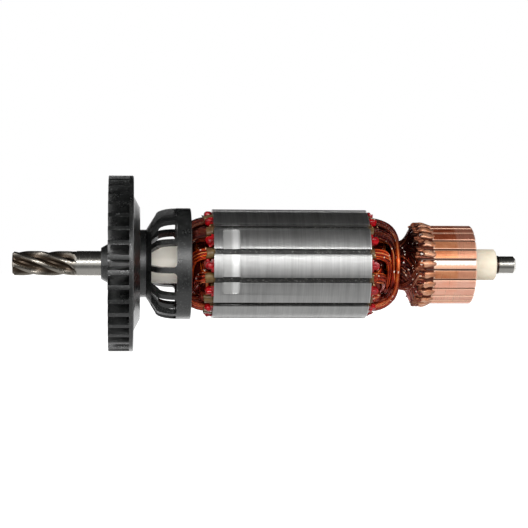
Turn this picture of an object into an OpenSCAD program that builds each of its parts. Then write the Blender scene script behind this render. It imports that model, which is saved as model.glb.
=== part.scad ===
// Armature of a small universal motor: a shaft that carries a helical pinion, a moulded
// cooling fan with a winding guard, a laminated core with twelve wound slots, and a
// commutator of twenty-four copper bars.
// The shaft lies along X. The origin is on the axis, in the middle of the drive bearing seat.
// Angles are turned about +X and start at the near side (-Y), so 90 points down (-Z).

/* [Shaft] */
// Diameter of the bearing seat next to the pinion
drive_seat_d = 10; // [9.6:0.1:10.4]
// Length of that bearing seat
drive_seat_len = 9.7; // [9:0.1:11]
// Diameter of the bearing journal at the commutator end
end_journal_d = 7; // [6.4:0.1:7.4]
// Length of that journal, with its chamfer
end_journal_len = 6.8; // [6:0.1:8]
// Diameter of the shaft inside the fan and the core
body_d = 11; // [10.6:0.1:11.4]

/* [Pinion] */
// Number of helical teeth
pinion_teeth = 5; // [4:1:7]
// Diameter over the tooth tips
pinion_d = 9.8; // [9:0.1:9.8]
// Length from the shaft end to the end of the tooth run-outs
pinion_len = 25.4; // [22:0.2:28]
// Depth of the tooth spaces
tooth_depth = 2.1; // [1.2:0.1:2.3]
// Advance of one tooth in a whole turn
pinion_lead = 59; // [45:1:90]

/* [Fan] */
// Number of fan blades
blade_count = 38; // [24:1:44]
// Diameter over the blade tips
fan_d = 70.4; // [60:0.2:76]
// Height of the blades along the shaft
blade_height = 8.3; // [5:0.1:8.3]
// Thickness of a blade
blade_w = 1.8; // [1:0.1:2.2]
// Number of ribs in the winding guard
rib_count = 12; // [8:1:16]
// Width of a rib
rib_w = 2.2; // [1.6:0.1:3]
// Outer diameter of the guard's ring
guard_d = 44.6; // [44:0.1:45.2]

/* [Core] */
// Outer diameter of the laminated core
core_d = 43.8; // [43.4:0.1:44.2]
// Length of the laminated core
core_len = 61.9; // [56:0.1:62]
// Opening of a slot at the surface
slot_opening = 2.2; // [1.6:0.1:2.6]
// Width of a tooth between two slots
tooth_w = 3.6; // [3.4:0.1:3.8]
// Depth of the balancing cut in the core's surface
balance_cut_depth = 0.8; // [0.3:0.1:1]

/* [Windings] */
// How far the windings stand out of the core at the fan's end
fan_end_overhang = 13.6; // [13:0.1:14]
// How far the windings stand out of the core at the commutator's end
bar_end_overhang = 13; // [12.6:0.1:13]

/* [Commutator] */
// Diameter of the brush track
track_d = 31.6; // [31:0.1:32]
// Length of the brush track
track_len = 16.7; // [14:0.1:17]
// Gap between two bars
bar_gap = 0.6; // [0.4:0.1:0.9]
// Height of the hooks above the brush track
hook_rise = 1.4; // [1:0.1:1.6]

/* [Hidden] */
$fn = 96;

// Stations along the shaft
drive_seat_end = drive_seat_len / 2;
pinion_root = -drive_seat_len / 2;
shaft_start = pinion_root - pinion_len;
fan_front = drive_seat_end;
blade_front = fan_front + 2.95;
disc_front = blade_front + blade_height;
disc_rear = disc_front + 1.7;
boss_rear = disc_rear + 2.5;
neck_rear = boss_rear + 2.4;
guard_ring_start = neck_rear + 12;
guard_ring_end = guard_ring_start + 5.8;
core_start = guard_ring_end + 8.6;
core_end = core_start + core_len;
small_body_start = core_end + 8;
sleeve_step = core_end + bar_end_overhang + 4.4;
bar_start = sleeve_step + 2.4;
track_start = bar_start + 6.6;
track_end = track_start + track_len;
sleeve_end = track_end + 10.1;
end_journal_start = sleeve_end + 1.5;
shaft_end = end_journal_start + end_journal_len;

// Radii shared by several pieces
core_r = core_d / 2;
track_r = track_d / 2;
guard_r = guard_d / 2;
body_r = body_d / 2;
sleeve_bore_r = body_r;
sleeve_wide_r = 7.9;
sleeve_thin_r = 6.3;
small_body_r = 5;
shoulder_r = 3.7;

// Slots: twelve, and one is centred 13 degrees above the near side
slot_count = 12;
slot_pitch = 360 / slot_count;
slot_phase = -13;
slot_top_r = core_r - 1.3;
slot_shoulder_r = slot_top_r - 0.8;
liner_t = 0.25;
liner_top_r = slot_top_r - 1.1;
liner_overhang = 1.1;
wedge_t = 0.8;
wedge_overhang = 3;

// Two coil sides lie one over the other in a slot, under the closing strip
side_t = 2.9;
outer_side_r = liner_top_r - 0.15 - side_t / 2;
inner_side_r = outer_side_r - side_t - 0.25;
slot_bottom_r = inner_side_r - side_t / 2 - 0.7;

// Bars: twenty-four, and one is centred on the near side
bar_count = 24;
bar_pitch = 360 / bar_count;
bar_foot_r = track_r - 5.6;
bar_waist_r = bar_foot_r + 2;
hub_fill_r = track_r - 1;

steel = "#8f8a82";
black_plastic = "#26282a";
cream_plastic = "#ded6be";
lamination_grey = "#a2a5a8";
fibre_red = "#c81e2c";
paper_tan = "#a3916c";
enamel = "#a8401f";
copper = "#d08d6c";
phenolic = "#4a2c20";

function numbered(name, i) = str(name, i < 10 ? "_0" : "_", i);

// Turns a shape built along Z so that it lies along X
module along_x() { rotate([0, 90, 0]) children(); }

// Turns a shape built towards local +X to an angle about the shaft
module at_angle(angle) { rotate([0, 0, angle - 90]) children(); }

// Solid of revolution about the shaft, from points [radius, station]
module turned(points) { along_x() rotate_extrude() polygon(points); }

// Plate that stands radially, from points [radius, station]
module radial_plate(points, width) {
    rotate([90, 0, 0])
        linear_extrude(width, center = true) polygon(points);
}

// ---- shaft and pinion ----

pinion_chamfer = 0.8;
journal_chamfer = 0.7;
tip_r = pinion_d / 2;
root_r = tip_r - tooth_depth;
tooth_angle = 360 / pinion_teeth;
space_half_angle = 0.385 * tooth_angle;
pinion_steps = 30;
runout_len = 5;
runout_r = (pow(runout_len, 2) + pow(tooth_depth, 2)) / (2 * tooth_depth);

// A tooth's crest crosses the near side at this distance from the end of the shaft
crest_at = 11.3;
groove_phase = tooth_angle / 2 - 360 * crest_at / pinion_lead;

// Outline of one tooth space and of the crest after it, as [radius, angle]
function tooth_outline() =
    let (flank = [[tip_r, 1], [root_r + 0.5 * tooth_depth, 0.7], [root_r, 0.25]])
    concat(
        [for (p = flank) [p[0], -p[1] * space_half_angle]],
        [for (i = [2:-1:0]) [flank[i][0], flank[i][1] * space_half_angle]],
        [[tip_r, tooth_angle / 2]]
    );

// How far the cutter has lifted out of the tooth spaces at a station
function runout_lift(x) =
    let (run = min(x, pinion_root) - (pinion_root - runout_len))
    run <= 0 ? 0 : runout_r - sqrt(pow(runout_r, 2) - pow(run, 2));

// Section of the pinion at a station, turned along its helix
function pinion_ring(x) =
    let (limit = tip_r - max(0, pinion_chamfer - (x - shaft_start)),
         lift = runout_lift(x),
         turn = groove_phase + 360 * (x - shaft_start) / pinion_lead)
    [for (i = [0:pinion_teeth - 1], p = tooth_outline())
        let (r = min(limit, p[0] + lift), a = turn + p[1] + i * tooth_angle)
        [x, -r * cos(a), -r * sin(a)]];

module pinion() {
    joint = 0.5;
    body = pinion_len - pinion_chamfer;
    stations = concat(
        [shaft_start],
        [for (i = [0:pinion_steps]) shaft_start + pinion_chamfer + body * i / pinion_steps],
        [pinion_root + joint]
    );
    sweep_rings([for (x = stations) pinion_ring(x)], false);
}

module shaft() {
    seat_r = drive_seat_d / 2;
    end_r = end_journal_d / 2;
    color(steel) union() {
        pinion();
        turned([
            [0, pinion_root], [seat_r, pinion_root], [seat_r, fan_front],
            [body_r, fan_front], [body_r, small_body_start],
            [small_body_r, small_body_start], [small_body_r, sleeve_end],
            [shoulder_r, sleeve_end], [shoulder_r, end_journal_start],
            [end_r, end_journal_start], [end_r, shaft_end - journal_chamfer],
            [end_r - journal_chamfer, shaft_end], [0, shaft_end]
        ]);
    }
}

// ---- insulating sleeve ----

module insulating_sleeve() {
    edge = 0.5;
    color(cream_plastic) turned([
        [sleeve_bore_r, neck_rear], [sleeve_wide_r, neck_rear],
        [sleeve_wide_r, sleeve_step], [sleeve_thin_r, sleeve_step],
        [sleeve_thin_r, sleeve_end - edge], [sleeve_thin_r - edge, sleeve_end],
        [small_body_r, sleeve_end], [small_body_r, small_body_start],
        [sleeve_bore_r, small_body_start]
    ]);
}

// ---- fan ----

blade_phase = 5.7;
blade_len = 13;
nose_r = 8;
neck_r = 13.6;
boss_r = 22.3;
disc_cone_r = boss_r + 4.7;

module fan() {
    rim_r = fan_d / 2;
    edge = 0.4;
    color(black_plastic) union() {
        turned([
            [body_r, fan_front], [nose_r - 1.7, fan_front], [nose_r, blade_front],
            [nose_r + 1.6, blade_front + 0.6], [nose_r + 4, blade_front + 4], [nose_r + 9, disc_front],
            [rim_r, disc_front], [rim_r, disc_rear - edge], [rim_r - edge, disc_rear],
            [disc_cone_r, disc_rear], [boss_r + 0.9, boss_rear - 0.5], [boss_r, boss_rear],
            [neck_r, boss_rear], [neck_r, neck_rear], [body_r, neck_rear]
        ]);
        along_x() for (i = [0:blade_count - 1])
            at_angle(blade_phase + i * 360 / blade_count) fan_blade();
    }
}

module fan_blade() {
    blade_r = fan_d / 2 - 0.05;
    inner_r = blade_r - blade_len;
    root = disc_front + 0.4;
    radial_plate([
        [inner_r - 5.7, root], [inner_r - 1.5, blade_front + 1.5], [inner_r, blade_front],
        [blade_r - 0.2, blade_front], [blade_r, blade_front + 0.2], [blade_r, root]
    ], blade_w);
}

// ---- winding guard, moulded on to the fan's neck ----

rib_phase = 7;
guard_wall = 2;
rib_depth = 2.3;
corner_r = guard_r - 2.6;
corner_x = neck_rear + 3.7;
cone_len = 2;
window_fillet = 1.6;

// Outer line of the guard from its corner to its ring, as a quarter of an ellipse
function guard_curve(inset) = [for (a = [0:15:90])
    [corner_r + (guard_r - corner_r) * sin(a) - inset,
     guard_ring_start - (guard_ring_start - corner_x - inset / 2) * cos(a)]];

module winding_guard() {
    // The ribs rise from a short cone that widens at the same slope
    cone_out = (corner_r - neck_r) * cone_len / (corner_x - neck_rear);
    color(black_plastic) union() {
        turned([
            [neck_r - rib_depth, neck_rear], [neck_r - 0.15, neck_rear],
            [neck_r - 0.15 + cone_out, neck_rear + cone_len],
            [neck_r - rib_depth + cone_out, neck_rear + cone_len]
        ]);
        along_x() for (i = [0:rib_count - 1])
            at_angle(rib_phase + i * 360 / rib_count) guard_rib();
        guard_ring();
        intersection() {
            along_x() for (i = [0:rib_count - 1])
                at_angle(rib_phase + i * 360 / rib_count) rib_fillets();
            turned([
                [guard_r - guard_wall + 0.2, guard_ring_start - 3], [guard_r - 0.4, guard_ring_start - 3],
                [guard_r - 0.2, guard_ring_start], [guard_r - 0.2, guard_ring_start + 0.5],
                [guard_r - guard_wall + 0.2, guard_ring_start + 0.5]
            ]);
        }
    }
}

module guard_rib() {
    radial_plate(concat(
        [[neck_r - 2.6, neck_rear], [neck_r - 0.1, neck_rear]],
        guard_curve(0.1),
        [[guard_r - 0.1, guard_ring_start + 0.4], [guard_r - guard_wall + 0.3, guard_ring_start + 0.4]],
        [for (i = [6:-1:0]) guard_curve(rib_depth)[i]]
    ), rib_w);
}

module guard_ring() {
    edge = 0.3;
    turned([
        [guard_r - guard_wall, guard_ring_start], [guard_r, guard_ring_start],
        [guard_r, guard_ring_end - edge], [guard_r - edge, guard_ring_end],
        [guard_r - guard_wall, guard_ring_end]
    ]);
}

// Rounded corners of the windows, on both sides of a rib
module rib_fillets() {
    for (side = [-1, 1])
        translate([guard_r, side * (rib_w / 2 + window_fillet / 2), guard_ring_start])
            rotate([0, -90, 0]) linear_extrude(2 * guard_wall) difference() {
                translate([-window_fillet, -window_fillet / 2 - 0.1 * (side + 1)])
                    square([window_fillet + 0.4, window_fillet + 0.2]);
                translate([-window_fillet, side * window_fillet / 2])
                    circle(window_fillet);
            }
}

// ---- laminated core and its insulation ----

// Half of the slot's width at a radius, between teeth with parallel sides
function slot_half_w(r) =
    (r * sin(slot_pitch / 2) - tooth_w / 2) / cos(slot_pitch / 2);

// One side of the slot, from the bottom to the top, with a wall of paper taken off
function slot_side(wall, top_r) = [
    [slot_bottom_r + wall, slot_half_w(slot_bottom_r) - wall - 0.5],
    [slot_bottom_r + wall + 0.5, slot_half_w(slot_bottom_r + 0.5) - wall],
    [min(top_r, slot_shoulder_r), slot_half_w(min(top_r, slot_shoulder_r)) - wall]
];

function mirrored(points) = concat(
    points, [for (i = [len(points) - 1:-1:0]) [points[i][0], -points[i][1]]]);

module slot_section() {
    polygon(mirrored(concat(slot_side(0, slot_top_r), [
        [slot_top_r, slot_half_w(slot_shoulder_r) - 1.2], [slot_top_r, slot_opening / 2],
        [core_r + 1, slot_opening / 2]])));
}

// Shape of one lamination: a disc with a bore and its slots
module lamination_section(outer_r, bore_r) {
    difference() {
        circle(outer_r);
        circle(bore_r);
        for (i = [0:slot_count - 1])
            at_angle(slot_phase + i * slot_pitch) slot_section();
    }
}

// The balancing cut lies across three teeth on the near side, close to the fan
cut_start = 3.5;
cut_w = 6.8;
cut_top_angle = -39;
cut_bottom_angle = 32.5;
cut_corner_r = 1.5;

module balance_cut() {
    floor_r = core_r - balance_cut_depth;
    top = -core_r * sin(cut_top_angle);
    bottom = -core_r * sin(cut_bottom_angle);
    intersection() {
        turned([
            [floor_r, core_start], [core_r + 1, core_start],
            [core_r + 1, core_start + 20], [floor_r, core_start + 20]
        ]);
        translate([core_start + cut_start, 0, bottom]) rotate([90, 0, 0])
            linear_extrude(core_d) rounded_rectangle(cut_w, top - bottom, cut_corner_r);
    }
}

module rounded_rectangle(w, h, r) {
    translate([r, 0]) square([w - 2 * r, h]);
    translate([0, r]) square([w, h - 2 * r]);
    for (x = [r, w - r], y = [r, h - r]) translate([x, y]) circle(r);
}

module lamination_stack() {
    color(lamination_grey) difference() {
        translate([core_start, 0, 0]) along_x() linear_extrude(core_len)
            lamination_section(core_r, sleeve_wide_r);
        balance_cut();
    }
}

insulator_t = 1;
insulator_tip_out = 3.3;
insulator_r = slot_top_r - 0.2;

// Red fibre plate with a tip that stands up at the middle of every tooth
module end_insulator() {
    union() {
        linear_extrude(insulator_t) lamination_section(insulator_r, sleeve_wide_r + 0.1);
        for (i = [0:slot_count - 1]) at_angle(slot_phase + (i + 0.5) * slot_pitch)
            translate([insulator_r - 1.6, 0, 0]) insulator_tip();
    }
}

module insulator_tip() {
    tip_w = 3;
    round_at = insulator_tip_out - tip_w / 2;
    rotate([90, 0, 90]) linear_extrude(1.4) {
        translate([-tip_w / 2, 0.5]) square([tip_w, round_at - 0.5]);
        translate([0, round_at]) circle(tip_w / 2);
    }
}

module end_insulator_drive() {
    color(fibre_red) translate([core_start, 0, 0]) mirror([1, 0, 0]) along_x() end_insulator();
}

module end_insulator_commutator() {
    color(fibre_red) translate([core_end, 0, 0]) along_x() end_insulator();
}

// Folded paper that lines one slot
module slot_liner(i) {
    color(paper_tan) translate([core_start - liner_overhang, 0, 0]) along_x()
        at_angle(slot_phase + i * slot_pitch) linear_extrude(core_len + 2 * liner_overhang)
            difference() {
                polygon(mirrored(slot_side(0, liner_top_r)));
                polygon(mirrored(slot_side(liner_t, liner_top_r + 1)));
            }
}

// Strips that close the slots above the wires
module slot_wedges() {
    wedge_r = slot_top_r - wedge_t - 0.1;
    half_w = slot_half_w(liner_top_r) - 1.1;
    color(paper_tan) translate([core_start - wedge_overhang, 0, 0]) along_x()
        for (i = [0:slot_count - 1]) at_angle(slot_phase + i * slot_pitch)
            translate([wedge_r, -half_w, 0])
                cube([wedge_t, 2 * half_w, core_len + 2 * wedge_overhang]);
}

// ---- windings ----

// Every coil fills one half of a slot and one half of the fifth slot after it. Two coils that
// face each other across the shaft share a layer, and the layers are laid one over another.
coil_span = 5;
layer_count = 6;
first_coil_angle = 227;
inner_side_w = 2.7;
outer_side_w = 4.4;
turn_w = 3.5;
turn_t = 1.75;
turn_gap = 0.25;
hug_r = sleeve_wide_r + turn_gap + turn_w / 2;
first_turn_rise = 1.5;
rise_steps = 6;
hug_steps = 3;

function unit(v) = v / norm(v);

// Point at [radius, angle, height] above a core face
function polar_point(p) = [p[2], -p[0] * cos(p[1]), -p[0] * sin(p[1])];

// Roundness of an end turn: low layers turn sharply, and the top one is a dome
function turn_power(layer, outer) = outer ? 5 - 0.55 * layer : 5.5 - 0.65 * layer;

// Centre line of one half of an end turn, from its slot to the sleeve it hugs:
// [radius, angle from the slot, height, thickness, width, normal's radial and axial parts]
function half_turn(side_r, side_w, height, power) = [for (i = [0:rise_steps])
    let (a = 90 * i / rise_steps,
         u = pow(cos(a), 2 / power),
         v = pow(sin(a), 2 / power),
         r = hug_r + (side_r - hug_r) * u,
         angle = acos(hug_r / side_r) - acos(hug_r / r),
         f = pow(v, 2),
         n = unit([pow(u, power - 1) / (side_r - hug_r), pow(v, power - 1) / height]))
    [r, angle, height * v, side_t + (turn_t - side_t) * f, side_w + (turn_w - side_w) * f,
     n[0], n[1]]];

// Whole end turn from one slot to the other, with the angle counted from the first slot
function end_turn(layer, height) =
    let (start_outer = layer == layer_count - 1,
         end_outer = layer > 0,
         span = coil_span * slot_pitch,
         first = half_turn(start_outer ? outer_side_r : inner_side_r,
                           start_outer ? outer_side_w : inner_side_w,
                           height, turn_power(layer, start_outer)),
         last = half_turn(end_outer ? outer_side_r : inner_side_r,
                          end_outer ? outer_side_w : inner_side_w,
                          height, turn_power(layer, end_outer)),
         a0 = first[rise_steps][1],
         a1 = span - last[rise_steps][1])
    concat(
        first,
        [for (i = [1:hug_steps]) let (q = first[rise_steps])
            [q[0], a0 + (a1 - a0) * i / (hug_steps + 1), q[2], q[3], q[4], 0, 1]],
        [for (i = [rise_steps:-1:0]) let (q = last[i])
            [q[0], span - q[1], q[2], q[3], q[4], q[5], q[6]]]
    );

// Cross-section of a coil: a flat bundle with rounded corners, as [across, up] of its half sizes
bundle = [[1, 0.45], [0.6, 1], [-0.6, 1], [-1, 0.45], [-1, -0.45], [-0.6, -1], [0.6, -1], [1, -0.45]];

// Rings of points along an end turn, on the core face at base, standing out towards dir
function turn_rings(turn, angle, base, dir) =
    let (n = len(turn),
         line = [for (q = turn) polar_point([q[0], angle - q[1], base + dir * q[2]])])
    [for (i = [0:n - 1])
        let (q = turn[i],
             along = i == 0 ? [dir, 0, 0] : i == n - 1 ? [-dir, 0, 0]
                   : unit(line[i + 1] - line[i - 1]),
             raw = [dir * q[6], -q[5] * cos(angle - q[1]), -q[5] * sin(angle - q[1])],
             up = unit(raw - (raw * along) * along),
             across = cross(up, along))
        [for (b = bundle) line[i] + across * b[0] * q[4] / 2 + up * b[1] * q[3] / 2]];

function layer_height(layer, overhang) =
    overhang - turn_t / 2
        - (layer_count - 1 - layer) * (overhang - first_turn_rise - turn_t / 2) / (layer_count - 0.55);

// Closes rings of points into a solid, as a loop or as a bar with flat ends
module sweep_rings(rings, looped) {
    n = len(rings[0]);
    m = len(rings);
    points = [for (ring = rings, p = ring) p];
    steps = looped ? m : m - 1;
    walls = [for (i = [0:steps - 1], j = [0:n - 1])
        let (k = (i + 1) % m, l = (j + 1) % n)
        each [[i * n + j, k * n + j, k * n + l], [i * n + j, k * n + l, i * n + l]]];
    ends = looped ? [] : [[for (j = [0:n - 1]) j], [for (j = [n - 1:-1:0]) (m - 1) * n + j]];
    polyhedron(points, concat(walls, ends), convexity = 8);
}

module coil(i) {
    layer = i % layer_count;
    angle = first_coil_angle - i * slot_pitch;
    bar_end = turn_rings(end_turn(layer, layer_height(layer, bar_end_overhang)), angle, core_end, 1);
    fan_end = turn_rings(end_turn(layer, layer_height(layer, fan_end_overhang)), angle, core_start, -1);
    n = len(fan_end);
    m = len(bundle);
    // The fan's end is walked back, with its rings mirrored, so that both ends join up
    back = [for (k = [n - 1:-1:0]) [for (j = [0:m - 1]) fan_end[k][(m + 3 - j) % m]]];
    color(enamel) sweep_rings(concat(bar_end, back), true);
}

// ---- leads to the commutator ----

lead_w = 1.7;
lead_r = sleeve_wide_r + 1.2;
lead_start = core_end + bar_end_overhang + 0.1;
lead_rise = bar_start - 0.7 - lead_start;
lead_path = [
    [lead_r, 0], [lead_r, 0.27 * lead_rise], [lead_r + 2.1, 0.6 * lead_rise],
    [track_r - 1.8, 0.87 * lead_rise], [track_r - 0.7, lead_rise]
];
lead_sides = 6;

module lead_wire(angle) {
    n = len(lead_path);
    rings = [for (i = [0:n - 1])
        let (p = lead_path[i],
             q = unit(lead_path[min(i + 1, n - 1)] - lead_path[max(i - 1, 0)]))
        [for (j = [0:lead_sides - 1])
            let (a = j * 360 / lead_sides,
                 r = p[0] + cos(a) * q[1] * lead_w / 2,
                 x = lead_start + p[1] - cos(a) * q[0] * lead_w / 2,
                 t = sin(a) * lead_w / 2)
            [x, -r * cos(angle) + t * sin(angle), -r * sin(angle) - t * cos(angle)]]];
    sweep_rings(rings, false);
}

module lead_wires() {
    color(enamel) for (i = [0:bar_count - 1]) lead_wire(i * bar_pitch);
}

// ---- commutator ----

hook_w = 3;

// Section of one bar: a wedge with a foot that the moulding grips
module bar_section(outer_r) {
    side = function(r) r * tan(bar_pitch / 2) - bar_gap / 2;
    polygon(mirrored([
        [bar_foot_r, side(bar_foot_r)], [bar_foot_r + 0.8, side(bar_foot_r + 0.8)],
        [bar_waist_r, side(bar_foot_r) - 0.3], [bar_waist_r + 0.6, side(bar_waist_r + 0.6)],
        [outer_r, side(outer_r)]
    ]));
}

module commutator_bar(i) {
    edge = 0.5;
    hook_r = track_r + hook_rise;
    tip_x = track_start;
    color(copper) along_x() at_angle(i * bar_pitch) union() {
        intersection() {
            translate([0, 0, bar_start]) linear_extrude(track_end - bar_start) bar_section(track_r + 1);
            rotate_extrude() polygon([
                [bar_foot_r - 1, bar_start], [track_r - 0.2, bar_start],
                [track_r - 0.2, track_start - 0.8], [track_r, track_start],
                [track_r, track_end - edge], [track_r - edge, track_end],
                [bar_foot_r - 1, track_end]
            ]);
        }
        radial_plate([
            [track_r - 1.2, bar_start + 0.1], [hook_r - 0.9, bar_start - 0.2],
            [hook_r - 0.2, bar_start + 0.3], [hook_r, bar_start + 1.2],
            [hook_r - 0.2, tip_x - 3.4], [track_r + 0.35, tip_x - 0.7],
            [track_r, tip_x - 0.2], [track_r - 1.2, tip_x - 0.2]
        ], hook_w);
    }
}

module commutator_hub() {
    bar_len = track_end - bar_start;
    color(phenolic) difference() {
        turned([
            [sleeve_thin_r, bar_start - 2.2], [10, bar_start - 2.2],
            [bar_waist_r + 0.4, bar_start - 0.4], [hub_fill_r, bar_start + 0.6],
            [hub_fill_r, track_end - 0.3], [bar_foot_r - 1, track_end - 0.3],
            [bar_foot_r - 2, track_end - 1], [sleeve_thin_r, track_end - 1]
        ]);
        along_x() for (i = [0:bar_count - 1]) at_angle(i * bar_pitch)
            translate([0, 0, bar_start]) linear_extrude(bar_len + 1) bar_section(track_r);
    }
}

shaft();
insulating_sleeve();
fan();
winding_guard();
lamination_stack();
end_insulator_drive();
end_insulator_commutator();
commutator_hub();
slot_wedges();
lead_wires();
for (i = [1:slot_count]) coil(i - 1);
for (i = [1:slot_count]) slot_liner(i - 1);
for (i = [1:bar_count]) commutator_bar(i - 1);
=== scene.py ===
import math
import random

import bpy
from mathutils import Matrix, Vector


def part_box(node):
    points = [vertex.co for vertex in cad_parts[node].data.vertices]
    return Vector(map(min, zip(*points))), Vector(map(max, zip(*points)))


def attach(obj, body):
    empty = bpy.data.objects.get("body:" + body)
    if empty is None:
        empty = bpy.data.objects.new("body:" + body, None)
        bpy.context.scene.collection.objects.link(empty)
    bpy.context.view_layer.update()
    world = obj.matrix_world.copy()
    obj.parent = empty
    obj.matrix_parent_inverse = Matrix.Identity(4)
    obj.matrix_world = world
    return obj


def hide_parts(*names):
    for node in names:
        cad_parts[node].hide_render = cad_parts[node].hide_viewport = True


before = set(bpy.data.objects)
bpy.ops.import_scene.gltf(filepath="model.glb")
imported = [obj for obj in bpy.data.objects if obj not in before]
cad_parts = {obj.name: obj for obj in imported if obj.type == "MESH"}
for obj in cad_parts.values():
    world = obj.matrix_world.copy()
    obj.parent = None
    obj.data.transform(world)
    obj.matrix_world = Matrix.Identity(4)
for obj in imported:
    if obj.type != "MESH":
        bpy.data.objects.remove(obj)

# The looks of a motor armature on its CAD frame: a material for every CAD node that shows, single
# wires in place of the plain coils and leads, worn bars with pressed hooks, uneven closing paper,
# resin on the fibre tips, and a plain studio.
# The shaft lies along X. Angles are in degrees about +X: 0 is the near side (-Y), 90 is down (-Z).

MM = 0.001

# Blender's own start-up objects go
for name in ("Cube", "Light", "Camera"):
    if name in bpy.data.objects:
        bpy.data.objects.remove(bpy.data.objects[name])
bpy.context.view_layer.update()

# ---- stations and radii, read from the frame ----

# The drive bearing's seat lies between the pinion and the fan
SEAT_LEN = 9.7 * MM
# The hub starts a little before the bars, and a hook lies on the first part of each bar
HUB_LEAD = 2.2 * MM
HOOK_LEN = 6.6 * MM
HOOK_RISE = 1.4 * MM

core_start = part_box("lamination_stack")[0].x
core_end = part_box("lamination_stack")[1].x
core_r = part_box("lamination_stack")[1].z
sleeve_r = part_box("insulating_sleeve")[1].z
sleeve_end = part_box("insulating_sleeve")[1].x
pinion_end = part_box("fan")[0].x - SEAT_LEN
bar_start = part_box("commutator_hub")[0].x + HUB_LEAD
track_start = bar_start + HOOK_LEN
track_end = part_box("commutator_bar_01")[1].x
hook_r = -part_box("commutator_bar_01")[0].y
track_r = hook_r - HOOK_RISE
fan_end_overhang = core_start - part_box("coil_06")[0].x
bar_end_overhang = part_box("coil_06")[1].x - core_end

SLOTS = 12
SLOT_PITCH = 360 / SLOTS
SLOT_PHASE = -13
BARS = 24
BAR_PITCH = 360 / BARS


def at(x, r, angle):
    """The point at a station, a radius and an angle."""
    a = math.radians(angle)
    return Vector((x, -r * math.cos(a), -r * math.sin(a)))


# ---- materials ----

class Shader:
    """One procedural material: its Principled shader and the nodes that feed it."""

    def __init__(self, name, **values):
        self.material = bpy.data.materials.new(name)
        self.material.use_nodes = True
        self.nodes = self.material.node_tree.nodes
        self.links = self.material.node_tree.links
        self.bsdf = self.nodes["Principled BSDF"]
        for socket, value in values.items():
            self.bsdf.inputs[socket.replace("_", " ")].default_value = value
        self.relief = None

    def add(self, kind, *inputs, **settings):
        """A new node. An input is a value or another node's output, in the order of its sockets."""
        node = self.nodes.new("ShaderNode" + kind)
        for key, value in settings.items():
            setattr(node, key, value)
        for socket, value in zip(node.inputs, inputs):
            if isinstance(value, bpy.types.NodeSocket):
                self.links.new(value, socket)
            elif value is not None:
                socket.default_value = value
        return node

    def point(self, stretch=(1, 1, 1)):
        """The place on the object, in metres, stretched for a texture."""
        place = self.add("TexCoord").outputs["Object"]
        return self.add("VectorMath", place, stretch, operation="MULTIPLY").outputs[0]

    def station(self):
        """The distance along the shaft."""
        return self.add("SeparateXYZ", self.point()).outputs["X"]

    def height(self):
        """The height over the shaft's axis."""
        return self.add("SeparateXYZ", self.point()).outputs["Z"]

    def radius(self):
        """The distance from the shaft's axis."""
        across = self.point((0, 1, 1))
        return self.add("VectorMath", across, operation="LENGTH").outputs["Value"]

    def math(self, operation, *inputs):
        return self.add("Math", *inputs, operation=operation).outputs[0]

    def noise(self, scale, detail=2.0, stretch=(1, 1, 1), roughness=0.5):
        node = self.add("TexNoise")
        self.links.new(self.point(stretch), node.inputs["Vector"])
        node.inputs["Scale"].default_value = scale
        node.inputs["Detail"].default_value = detail
        node.inputs["Roughness"].default_value = roughness
        return node.outputs["Fac"]

    def span(self, value, lo, hi, to_lo=0.0, to_hi=1.0):
        """value taken from lo..hi to to_lo..to_hi, and held beyond."""
        return self.add("MapRange", value, lo, hi, to_lo, to_hi).outputs[0]

    def between(self, value, lo, hi, soft):
        """1 from lo to hi and 0 outside, with soft edges."""
        rise = self.span(value, lo - soft, lo + soft)
        fall = self.span(value, hi - soft, hi + soft, 1, 0)
        return self.math("MULTIPLY", rise, fall)

    def mix(self, fac, a, b):
        node = self.add("Mix", data_type="RGBA")
        for socket, value in (("Factor_Float", fac), ("A_Color", a), ("B_Color", b)):
            target = next(i for i in node.inputs if i.identifier == socket)
            if isinstance(value, bpy.types.NodeSocket):
                self.links.new(value, target)
            else:
                target.default_value = value if socket == "Factor_Float" else (*value, 1)
        return next(o for o in node.outputs if o.identifier == "Result_Color")

    def feed(self, socket, value):
        self.links.new(value, self.bsdf.inputs[socket])

    def bump(self, height, depth):
        """Adds relief: height goes from 0 to 1 over depth metres. The last one is on top."""
        node = self.add("Bump")
        node.inputs["Strength"].default_value = 1
        node.inputs["Distance"].default_value = depth
        self.links.new(height, node.inputs["Height"])
        if self.relief:
            self.links.new(self.relief, node.inputs["Normal"])
        self.relief = node.outputs["Normal"]
        self.feed("Normal", self.relief)


def turned_steel():
    """Ground shaft steel, stained at the shoulder; the pinion browner, with painted shade in its
    grooves.
    """
    s = Shader("turned_steel", Metallic=1.0)
    x, r = s.station(), s.radius()
    rings = s.noise(2600, 3, (1, 0.02, 0.02))
    cloud = s.noise(260, 4)
    toothed = s.span(x, pinion_end - 1 * MM, pinion_end + 0.2 * MM, 1, 0)
    groove = s.math("MULTIPLY", toothed, s.span(r, 3.6 * MM, 4.8 * MM, 1, 0))
    bright = s.mix(cloud, (0.66, 0.64, 0.60), (0.54, 0.52, 0.47))
    # The pinion is painted darker and browner, and near black down its grooves as painted shade
    base = s.mix(s.math("MULTIPLY", toothed, 0.55), bright, (0.30, 0.25, 0.19))
    base = s.mix(groove, base, (0.10, 0.075, 0.055))
    stain = s.between(x, sleeve_end - 0.5 * MM, sleeve_end + 1.5 * MM, 0.05 * MM)
    base = s.mix(s.math("MULTIPLY", stain, 0.93), base, (0.07, 0.035, 0.02))
    s.feed("Base Color", base)
    rough = s.span(rings, 0.3, 0.7, 0.16, 0.28)
    s.feed("Roughness", s.math("ADD", rough, s.math("MULTIPLY", groove, 0.12)))
    s.bump(rings, 0.004 * MM)
    s.bump(s.noise(900, 3), 0.006 * MM)
    return s.material


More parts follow.
